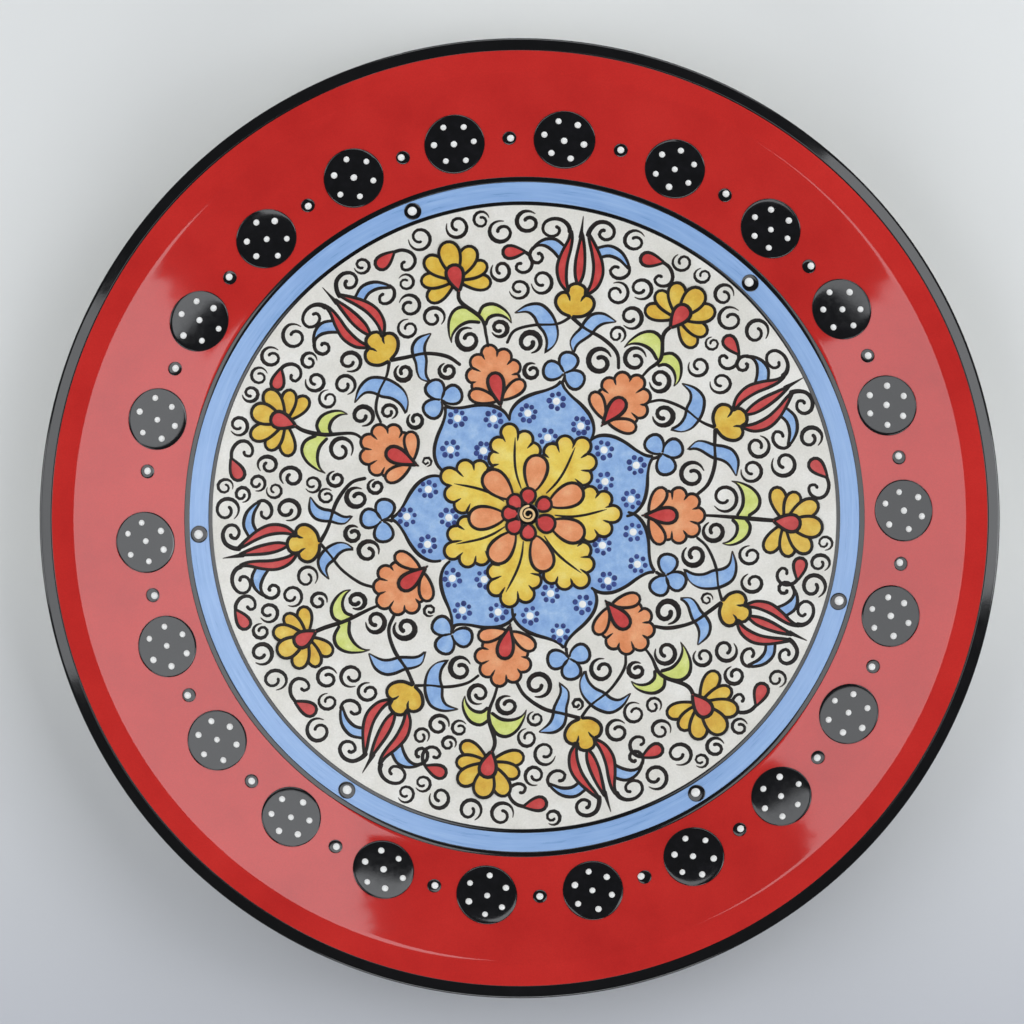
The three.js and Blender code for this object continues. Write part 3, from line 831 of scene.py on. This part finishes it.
def shape_clay():
    """The thrown body: the face under its glaze, the lip, the underside, the foot and the recess."""
    face = np.array([(r, FLOOR + rise(np.array(r)) - GLAZE - UNDER_GLAZE)
                     for r in np.linspace(0, CLAY_FACE_EDGE, 40)])
    bend = FOOT_OUTER + 2.5
    under = np.array([(r, underside(r)) for r in np.linspace(CLAY_UNDER_EDGE, bend, 22)])
    corner = underside(bend)
    foot = through([(FOOT_OUTER + 1.2, corner - 0.5), (FOOT_OUTER + 0.3, corner - 1.6),
                    (FOOT_OUTER - 0.2, corner / 2), (FOOT_REST_OUTER + 0.9, 1.3),
                    (FOOT_REST_OUTER + 0.45, 0.45), (FOOT_REST_OUTER - 0.1, 0.02)], 16)
    inside = through([(FOOT_REST_INNER + 0.1, 0.02), (FOOT_REST_INNER - 0.45, 0.4),
                      (FOOT_INNER + 0.7, 1.6), (FOOT_INNER, FOOT_RECESS)], 9)
    radii = np.linspace(FOOT_INNER - 0.6, 0, 12)
    roof = np.stack([radii, ceiling(radii)], -1)
    clay_lip = lip_arc(LIP_TUBE - GLAZE - UNDER_GLAZE, 10, 172, 14)
    spun("clay_dish", np.vstack([face, clay_lip, under, foot, inside, roof]), ring=False)


def shape_back_glazes():
    """The pale glaze of the underside, from the foot to the lip, and of the recess."""
    radii = np.linspace(FOOT_OUTER + 1.9, BACK_GLAZE_EDGE, 26)
    skin = np.stack([radii, underside(radii) - 0.02], -1)
    outside = np.stack([radii, underside(radii) - UNDER_GLAZE - GLAZE], -1)
    outside[0, 1] += 0.5
    outside[-1] = lip_arc(LIP_TUBE - 0.05, 166, 166, 1)[0]
    spun("back_glaze", np.vstack([skin, outside[::-1]]))
    radii = np.linspace(0, FOOT_INNER - 0.6, 14)
    spun("foot_recess_glaze", np.vstack([np.stack([radii, ceiling(radii) + 0.05], -1),
                                         np.stack([radii, ceiling(radii) - 0.5], -1)[::-1]]),
         ring=False)


def shape_bands():
    """The bands of glaze on the face, from the middle out."""
    band("medallion_ground", 0, MEDALLION_RADIUS, wobble=0.05, rings=2.5)
    band("inner_border_line", *INNER_LINE, lift=0.14, edge=0.2, wobble=0.07)
    band("blue_border", *BLUE_BORDER, lift=0.02, wobble=0.05)
    band("outer_border_line", *BORDER_LINE, lift=0.16, edge=0.25, wobble=0.08)
    band("rim_glaze", BORDER_LINE[1] - 0.3, LIP_INNER + 0.5, rings=0.9)


def shape_lip():
    """The black glaze over the lip: a small step up from the face, a top that falls outwards, a
    corner, and then round the outer side and back inside."""
    start, top = FLOOR + rise(np.array(LIP_INNER)), LIP_CENTRE[1] + LIP_TUBE
    shoulder = through([(LIP_INNER, start - 0.4), (LIP_INNER + 0.03, start + 0.02),
                        (LIP_INNER + 0.2, top - 0.04), (LIP_INNER + 0.45, top)], 8)
    bevel = np.linspace(0.55, RADIUS - LIP_INNER - 0.5, 9)
    fall = top - (bevel - 0.45) * np.tan(np.radians(LIP_BEVEL))
    crest = np.stack([LIP_INNER + bevel, fall], -1)
    corner = through([(RADIUS - 0.32, fall[-1] - 0.09), (RADIUS - 0.12, fall[-1] - 0.3),
                      (RADIUS - 0.02, fall[-1] - 0.7), (RADIUS, top - 2.9)], 12)
    outer = np.vstack([corner, lip_arc(LIP_TUBE, 95, 148, 10)])
    inner = lip_arc(LIP_TUBE - 0.5, 150, 10, 16)
    spun("lip_band", np.vstack([shoulder, crest, outer, inner]))


# Enamels of the rim -----------------------------------------------------------------------------
def disc_angle(k):
    """Angle of a button, counted on evenly but for the slip between two of them."""
    return FIRST_DISC_ANGLE + k * DISC_GAP + DISC_SLIP * ease(k, SLIP_FROM, SLIP_TO)


def slope_share(radius):
    """How far a step up the slope carries in plan: the cosine of the slope."""
    return 1 / np.hypot(1, rise(np.array(radius + 0.5)) - rise(np.array(radius - 0.5)))


def on_rim(ring, angle):
    """How a shape drawn flat round the origin is set on the rim: x runs up the slope."""
    share, turn = slope_share(ring), np.radians(angle)
    middle = ring * np.array([np.cos(turn), np.sin(turn)])
    return lambda points: middle + turned(np.asarray(points, float) * (share, 1), -angle)


def button(piece, at, centre, radius, height, crown, base=0.0, count=28, squareness=2.6):
    """A raised drop of enamel: rings that close on its centre, whose height follows an oval with
    full shoulders, plus a shallow crown."""
    out = np.sin(np.linspace(0, np.pi / 2, 12))
    outline = circle((0, 0), 1, count)
    uneven = 1 + 0.012 * np.sin(2 * np.linspace(0, 2 * np.pi, count, endpoint=False)
                                + hand.uniform(0, 6))
    spots = np.array(centre) + radius * out[:, None, None] * (outline * uneven[:, None])[None]
    lift = base + height * (1 - out**squareness) ** (1 / squareness) + crown * (1 - out**2)
    spots = np.concatenate([spots, spots[[-1, 0]]])
    lift = np.concatenate([lift, np.full(2, base - SINK - 0.1)])
    keep_surface(piece, lay(at(spots), np.repeat(lift[:, None], count, 1)), 0.0)


def shape_rim_enamels():
    """The black buttons round the rim with their white beads, and the small dots between them."""
    for k in range(DISCS):
        label = f"{k + 1:02d}"
        at = on_rim(DISC_RING, disc_angle(k))
        button(f"rim_disc_{label}", at, (0, 0), DISC_RADIUS, DISC_HEIGHT, 0.15, count=56,
               squareness=9)
        start = hand.uniform(0, 360)
        beads = [hand.normal(0, 0.2, 2)]
        for i in range(DISC_BEADS):
            out = turned(np.array([0, BEAD_RING + hand.normal(0, 0.2)]),
                         start + 360 * i / DISC_BEADS + hand.normal(0, 2.5))
            beads.append(out)
        for spot in beads:
            button(f"disc_beads_{label}", at, spot, BEAD_RADIUS * hand.uniform(0.92, 1.08),
                   BEAD_HEIGHT, 0.05, DISC_HEIGHT + 0.06, 18, 2.2)
        between = (disc_angle(k) + disc_angle(k + 1)) / 2
        at = on_rim(DISC_RING, between)
        button(f"rim_dot_{label}", at, (0, 0), DOT_RADIUS, DOT_HEIGHT, 0.03, count=28, squareness=7)
        button("rim_dot_caps", at, hand.normal(0, 0.3, 2), BEAD_RADIUS * 1.12, BEAD_HEIGHT, 0.05,
               DOT_HEIGHT - 0.03, 18, 2.2)
    for k, angle in enumerate(BORDER_DOT_ANGLES, 1):
        at = on_rim(BORDER_DOT_RING, angle)
        button(f"border_dot_{k}", at, (0, 0), BORDER_DOT_RADIUS, DOT_HEIGHT, 0.05, count=30,
               squareness=6)
        button("border_dot_caps", at, hand.normal(0, 0.2, 2), BEAD_RADIUS * 1.45, BEAD_HEIGHT, 0.1,
               DOT_HEIGHT, 20, 2.2)


# Finishes ---------------------------------------------------------------------------------------
def srgb(red, green, blue):
    """A colour given as 0 to 255 display values, as the linear values that shaders take."""
    value = np.array([red, green, blue]) / 255
    linear = np.where(value <= 0.04045, value / 12.92, ((value + 0.055) / 1.055) ** 2.4)
    return (*linear.tolist(), 1.0)


class Finish:
    """A material and short calls that add nodes to it."""

    def __init__(self, name):
        """A new material, whose patterns are placed on the Object coordinates."""
        self.material = bpy.data.materials.new(name)
        self.material.use_nodes = True
        self.tree = self.material.node_tree
        self.shader = self.tree.nodes["Principled BSDF"]
        self.place = self.tree.nodes.new("ShaderNodeTexCoord").outputs["Object"]

    def node(self, kind, **settings):
        """A new node with some of its settings."""
        made = self.tree.nodes.new(kind)
        for key, value in settings.items():
            setattr(made, key, value)
        return made

    def join(self, source, target):
        """A link from an output to an input."""
        self.tree.links.new(source, target)

    def noise(self, size_mm, detail=2.0, rough=0.5, place=None):
        """Noise whose features are about so many millimetres across."""
        made = self.node("ShaderNodeTexNoise")
        made.inputs["Scale"].default_value = 1 / (size_mm * MM)
        made.inputs["Detail"].default_value = detail
        made.inputs["Roughness"].default_value = rough
        self.join(place or self.place, made.inputs["Vector"])
        return made.outputs["Fac"]

    def ramp(self, source, *stops):
        """A colour ramp with (position, colour) stops."""
        made = self.node("ShaderNodeValToRGB")
        elements = made.color_ramp.elements
        while len(elements) < len(stops):
            elements.new(0.5)
        for element, (position, colour) in zip(elements, stops):
            element.position, element.color = position, colour
        self.join(source, made.inputs["Fac"])
        return made.outputs["Color"]

    def mix(self, share, first, second, blend="MIX"):
        """A colour mix; share, first and second are sockets or values."""
        made = self.node("ShaderNodeMix", data_type="RGBA", blend_type=blend)
        for socket, value in ((made.inputs[0], share), (made.inputs[6], first),
                              (made.inputs[7], second)):
            if isinstance(value, bpy.types.NodeSocket):
                self.join(value, socket)
            else:
                socket.default_value = value
        return made.outputs[2]

    def spread(self, source, low, high, first, last):
        """Maps a value from low..high to first..last."""
        made = self.node("ShaderNodeMapRange")
        for socket, value in zip(("From Min", "From Max", "To Min", "To Max"),
                                 (low, high, first, last)):
            made.inputs[socket].default_value = value
        self.join(source, made.inputs["Value"])
        return made.outputs["Result"]

    def bumps(self, *layers):
        """Bump nodes in a chain, from (height socket, strength, distance in mm)."""
        normal = None
        for height, strength, distance in layers:
            made = self.node("ShaderNodeBump")
            made.inputs["Strength"].default_value = strength
            made.inputs["Distance"].default_value = distance * MM
            self.join(height, made.inputs["Height"])
            if normal is not None:
                self.join(normal, made.inputs["Normal"])
            normal = made.outputs["Normal"]
        self.join(normal, self.shader.inputs["Normal"])


def glaze_finish(name, deep, usual, pale, rough, mottle, grain, ripple, tooth, specular=0.5,
                 pooled=None, pooled_share=0.5):
    """A fired glaze or enamel: its colour drifts between three tones over a mottle, with fine
    grain; it pools darker at the edges of a fill; its skin has a slow ripple and a fine tooth."""
    made = Finish(name)
    drift = made.noise(mottle, 4, 0.6)
    colour = made.ramp(drift, (0.3, srgb(*deep)), (0.5, srgb(*usual)), (0.72, srgb(*pale)))
    speckle = made.noise(grain, 2, 0.7)
    shade = made.spread(speckle, 0.3, 0.7, 0.93, 1.05)
    grey = made.node("ShaderNodeCombineColor")
    for channel in ("Red", "Green", "Blue"):
        made.join(shade, grey.inputs[channel])
    colour = made.mix(1.0, colour, grey.outputs["Color"], "MULTIPLY")
    if pooled is not None:
        pool = made.node("ShaderNodeAttribute", attribute_name="pooling").outputs["Fac"]
        colour = made.mix(made.spread(pool, 0.0, 1.0, 0.0, pooled_share), colour, srgb(*pooled))
    made.join(colour, made.shader.inputs["Base Color"])
    made.join(made.spread(made.noise(mottle * 0.6, 3), 0.3, 0.7, *rough),
              made.shader.inputs["Roughness"])
    made.shader.inputs["Specular IOR Level"].default_value = specular
    made.bumps((made.noise(14, 2), 1.0, ripple), (made.noise(grain * 1.3, 2, 0.6), 1.0, tooth))
    return made.material


# Each glaze or enamel: its deep, usual and pale tone, its least and greatest roughness, the size of
# its mottle and its grain and the depth of its ripple and its tooth in millimetres. Where they are
# not the usual ones, then its specular level, and the tone that pools at its edges and how much.
GLAZES = {
    "fired_clay": ((176, 154, 122), (198, 178, 148), (212, 194, 166), (0.75, 0.9), 6, 0.5, 0.05,
        0.06, 0.2),
    "back_glaze": ((218, 214, 200), (229, 226, 215), (235, 233, 225), (0.12, 0.25), 18, 0.6, 0.12,
        0.006),
    "black_glaze": ((5, 5, 7), (8, 8, 10), (13, 12, 15), (0.06, 0.1), 8, 0.4, 0.02, 0.002, 0.76),
    "red_glaze": ((184, 35, 32), (194, 40, 36), (201, 45, 40), (0.035, 0.06), 30, 0.5, 0.03, 0.0015,
        0.7),
    "white_ground": ((215, 212, 203), (224, 221, 213), (234, 232, 226), (0.3, 0.42), 12, 0.55, 0.05,
        0.02),
    "black_enamel": ((7, 7, 9), (11, 11, 14), (18, 17, 21), (0.06, 0.1), 3, 0.45, 0.012, 0.002,
        0.7),
    "line_enamel": ((10, 5, 3), (17, 9, 6), (32, 19, 13), (0.34, 0.46), 3, 0.4, 0.02, 0.012, 0.3,
        (88, 78, 68), 0.8),
    "cream_enamel": ((214, 172, 112), (226, 190, 134), (234, 205, 158), (0.3, 0.4), 4, 0.4, 0.02,
        0.015),
    "white_enamel": ((226, 226, 224), (236, 236, 233), (242, 242, 240), (0.25, 0.35), 4, 0.4, 0.02,
        0.015),
    "blue_enamel": ((124, 160, 211), (142, 177, 221), (166, 195, 229), (0.3, 0.42), 3.2, 0.45, 0.03,
        0.012, 0.5, (104, 140, 200), 0.45),
    "dark_blue_enamel": ((20, 36, 94), (32, 52, 118), (52, 76, 146), (0.3, 0.42), 2, 0.4, 0.02,
        0.02),
    "yellow_enamel": ((208, 158, 46), (219, 180, 62), (228, 200, 92), (0.3, 0.42), 5.0, 0.45, 0.03,
        0.012, 0.5, (196, 142, 40), 0.5),
    "leaf_enamel": ((219, 180, 60), (231, 204, 88), (236, 218, 124), (0.3, 0.42), 6.0, 0.45, 0.03,
        0.012, 0.5, (212, 164, 50), 0.6),
    "orange_enamel": ((218, 134, 84), (229, 150, 102), (235, 170, 124), (0.3, 0.42), 4.2, 0.45,
        0.03, 0.02, 0.5, (206, 118, 66), 0.5),
    "red_enamel": ((178, 46, 44), (196, 60, 58), (206, 78, 74), (0.28, 0.4), 4.0, 0.45, 0.03, 0.02,
        0.5, (158, 34, 34), 0.5),
    "lime_enamel": ((196, 204, 100), (208, 216, 122), (220, 226, 150), (0.3, 0.42), 4.0, 0.45, 0.03,
        0.02, 0.5, (182, 190, 84), 0.5),
}


def finishes():
    """All the finishes of the dish, by name."""
    coats = {name: glaze_finish(name, *values) for name, values in GLAZES.items()}
    coats["blue_glaze"] = blue_border_finish()
    return coats


def blue_border_finish():
    """The blue of the border: long streaks from a brush held against the turning dish. The streaks
    are noise that runs slowly with the direction from the axis and fast with the distance."""
    made = Finish("blue_border_glaze")
    flat = made.node("ShaderNodeVectorMath", operation="MULTIPLY")
    flat.inputs[1].default_value = (1, 1, 0)
    made.join(made.place, flat.inputs[0])
    direction = made.node("ShaderNodeVectorMath", operation="NORMALIZE")
    made.join(flat.outputs[0], direction.inputs[0])
    slow = made.node("ShaderNodeVectorMath", operation="SCALE")
    slow.inputs["Scale"].default_value = 6 * MM
    made.join(direction.outputs[0], slow.inputs[0])
    distance = made.node("ShaderNodeVectorMath", operation="LENGTH")
    made.join(flat.outputs[0], distance.inputs[0])
    upright = made.node("ShaderNodeCombineXYZ")
    made.join(distance.outputs["Value"], upright.inputs["Z"])
    streaked = made.node("ShaderNodeVectorMath", operation="ADD")
    made.join(slow.outputs[0], streaked.inputs[0])
    made.join(upright.outputs[0], streaked.inputs[1])
    streaks = made.noise(0.9, 3, 0.6, streaked.outputs[0])
    colour = made.ramp(streaks, (0.25, srgb(120, 158, 209)), (0.5, srgb(134, 171, 220)),
                       (0.75, srgb(153, 186, 228)))
    patches = made.spread(made.noise(11, 3), 0.35, 0.7, 0.0, 0.5)
    made.join(made.mix(patches, colour, srgb(145, 179, 226)), made.shader.inputs["Base Color"])
    made.join(made.spread(streaks, 0.3, 0.7, 0.26, 0.38), made.shader.inputs["Roughness"])
    made.shader.inputs["Specular IOR Level"].default_value = 0.8
    made.bumps((streaks, 0.5, 0.03), (made.noise(0.5), 1.0, 0.015))
    return made.material


# Setting: camera, floor and lights --------------------------------------------------------------
CAMERA_HEIGHT = 2000.0  # above the lip
VIEW_WIDTH = 319.6  # seen across at the height of the lip
PLATE_IN_VIEW = (-2.40, 1.93)  # the view's centre, from the dish's axis
SENSOR = 36.0
LAMP_COLOUR = (0.975, 1.0, 1.03)  # a little cooler than white
SURROUND_COLOUR, SURROUND_STRENGTH = (0.93, 0.97, 1, 1), 0.1
FLOOR_HALF = 1.6  # metres
SHADE_FROM, SHADE_TO = -0.17, -0.01  # y in metres between which the floor goes from a cool, darker painted shade to pale
# Fills that are aimed at the dish: range of x and y and height in metres, and radiance.
FILLS = {"fill_top": ((-0.5, 1.3), (0.9, 1.9), 0.95, 3.1),
         "fill_front": ((-0.7, -1.9), (0.7, -1.3), 0.95, 3.9),
         "fill_right": ((1.5, -0.6), (2.1, 0.6), 0.9, 3.7),
         "fill_left": ((-2.1, -0.6), (-1.5, 0.6), 0.9, 2.6)}


def set_camera():
    """A long lens straight above the dish."""
    camera = bpy.data.objects.new("camera", bpy.data.cameras.new("camera"))
    camera.data.sensor_width = SENSOR
    camera.data.lens = SENSOR * CAMERA_HEIGHT / VIEW_WIDTH
    camera.data.clip_start, camera.data.clip_end = 0.01, 20
    top = node_box("lip_band")[1][2]
    camera.location = Vector((*PLATE_IN_VIEW, top + CAMERA_HEIGHT)) * MM
    bpy.context.scene.collection.objects.link(camera)
    bpy.context.scene.camera = camera


def add_softbox(name, low, high, height, radiance):
    """A rectangular soft light that faces straight down, over a range of x and y in metres. Its
    power is radiance times pi times its area, so its brightness doesn't depend on its size."""
    light = bpy.data.lights.new(name, "AREA")
    light.shape = "RECTANGLE"
    light.size, light.size_y = high[0] - low[0], high[1] - low[1]
    light.energy = radiance * np.pi * light.size * light.size_y
    light.color = LAMP_COLOUR
    lamp = bpy.data.objects.new(name, light)
    lamp.location = ((low[0] + high[0]) / 2, (low[1] + high[1]) / 2, height)
    bpy.context.scene.collection.objects.link(lamp)
    return lamp


def aim(lamp, target=(0, 0, 0.02)):
    """Turns a light so that it faces the dish."""
    lamp.rotation_euler = (Vector(target) - lamp.location).to_track_quat("-Z", "Y").to_euler()


def floor_finish():
    """Pale paper that goes over, across a strip, to a cooler and darker painted shade in front of the
    dish.
    """
    made = Finish("floor_paper")
    paper = made.ramp(made.noise(120, 2), (0.3, srgb(225, 226, 225)), (0.7, srgb(229, 230, 229)))
    spot = made.node("ShaderNodeSeparateXYZ")
    made.join(made.place, spot.inputs[0])
    painted_shade = made.spread(spot.outputs["Y"], SHADE_FROM, SHADE_TO, 1.0, 0.0)
    # painted shade: the floor is made darker and cooler towards the front, as if less light fell there
    made.join(made.mix(painted_shade, paper, srgb(192, 194, 200)), made.shader.inputs["Base Color"])
    made.shader.inputs["Roughness"].default_value = 0.9
    made.shader.inputs["Specular IOR Level"].default_value = 0.1
    return made.material


def set_floor():
    """A flat square of paper under the dish."""
    corners = [(x * FLOOR_HALF, y * FLOOR_HALF, 0) for x, y in ((-1, -1), (1, -1), (1, 1), (-1, 1))]
    floor_mesh = bpy.data.meshes.new("floor")
    floor_mesh.from_pydata(corners, [], [(0, 1, 2, 3)])
    floor = bpy.data.objects.new("floor", floor_mesh)
    bpy.context.scene.collection.objects.link(floor)
    floor.data.materials.append(floor_finish())


def set_lights():
    """Two large softboxes left and right that mirror in the rim and the lip, lower fills that do
    not, and a dim even surround."""
    right = add_softbox("softbox_right", (0.176, -0.263), (0.996, 0.673), 1.0, 2.35)
    right.rotation_euler.z = np.radians(22)
    add_softbox("softbox_left", (-1.0, -0.32), (-0.2, 0.44), 1.0, 2.05)
    for name, values in FILLS.items():
        aim(add_softbox(name, *values))
    world = bpy.data.worlds.new("surround")
    bpy.context.scene.world = world
    world.use_nodes = True
    surround = world.node_tree.nodes["Background"]
    surround.inputs["Color"].default_value = SURROUND_COLOUR
    surround.inputs["Strength"].default_value = SURROUND_STRENGTH
    bpy.context.scene.view_settings.view_transform = "Standard"


# Making the dish --------------------------------------------------------------------------------
SECTOR_PIECES = {
    "blue_petal": "blue_enamel", "leaf_petal": "leaf_enamel", "centre_petal": "orange_enamel",
    "flowerlet_eyes": "white_enamel", "flowerlet_dots": "dark_blue_enamel",
    "orange_carnation": "orange_enamel", "yellow_carnation": "yellow_enamel",
    "carnation_heart": "red_enamel", "tulip_petals": "red_enamel", "tulip_calyx": "yellow_enamel",
    "blue_leaves": "blue_enamel", "lime_leaves": "lime_enamel", "petal_lines": "line_enamel",
    "leaf_lines": "line_enamel", "carnation_lines": "line_enamel", "tulip_lines": "line_enamel",
    "scrolls": "line_enamel",
}
# Finishes that share the slot of a plainer one.
RECORD_SLOT = {"line_enamel": "black_enamel", "leaf_enamel": "yellow_enamel",
               "cream_enamel": "yellow_enamel"}


BODY_COATS = {"back_glaze": "back_glaze", "foot_recess_glaze": "back_glaze",
              "medallion_ground": "white_ground", "inner_border_line": "black_glaze",
              "blue_border": "blue_glaze", "outer_border_line": "black_glaze",
              "rim_glaze": "red_glaze", "lip_band": "black_glaze"}
CENTRE_COATS = {"centre_coil": "cream_enamel", "centre_ground": "leaf_enamel",
                "centre_beads": "red_enamel", "centre_lines": "line_enamel",
                "centre_eye": "black_enamel"}


def finish_fine(node, coat, coats):
    """Makes the fine version of a frame node, which takes that node's place."""
    surfaces[f"fine_{node}"] = surfaces.pop(node)
    finish_piece(f"fine_{node}", coat, coats[coat], node)


def make_dish():
    """Works out every surface first, in the order the painter works, and then makes the pieces."""
    shape_clay()
    shape_back_glazes()
    shape_bands()
    shape_lip()
    shape_rim_enamels()
    for k in range(1, SECTORS + 1):
        draw_sector(k)
    draw_centre()
    draw_scrolls()

    coats = finishes()
    finish_piece("clay_dish", "clay", coats["fired_clay"], "clay_body")
    for node, coat in BODY_COATS.items():
        finish_fine(node, coat, coats)
    for k in range(1, DISCS + 1):
        finish_fine(f"rim_disc_{k:02d}", "black_enamel", coats)
        finish_fine(f"rim_dot_{k:02d}", "black_enamel", coats)
        finish_piece(f"disc_beads_{k:02d}", "white_enamel", coats["white_enamel"])
    for k in range(1, len(BORDER_DOT_ANGLES) + 1):
        finish_fine(f"border_dot_{k}", "black_enamel", coats)
    for piece in ("rim_dot_caps", "border_dot_caps"):
        finish_piece(piece, "white_enamel", coats["white_enamel"])
    for piece, coat in CENTRE_COATS.items():
        finish_piece(piece, RECORD_SLOT.get(coat, coat), coats[coat])
    for k in range(1, SECTORS + 1):
        for piece, coat in SECTOR_PIECES.items():
            finish_piece(f"{piece}_{k}", RECORD_SLOT.get(coat, coat), coats[coat])


set_camera()
set_floor()
set_lights()
make_dish()
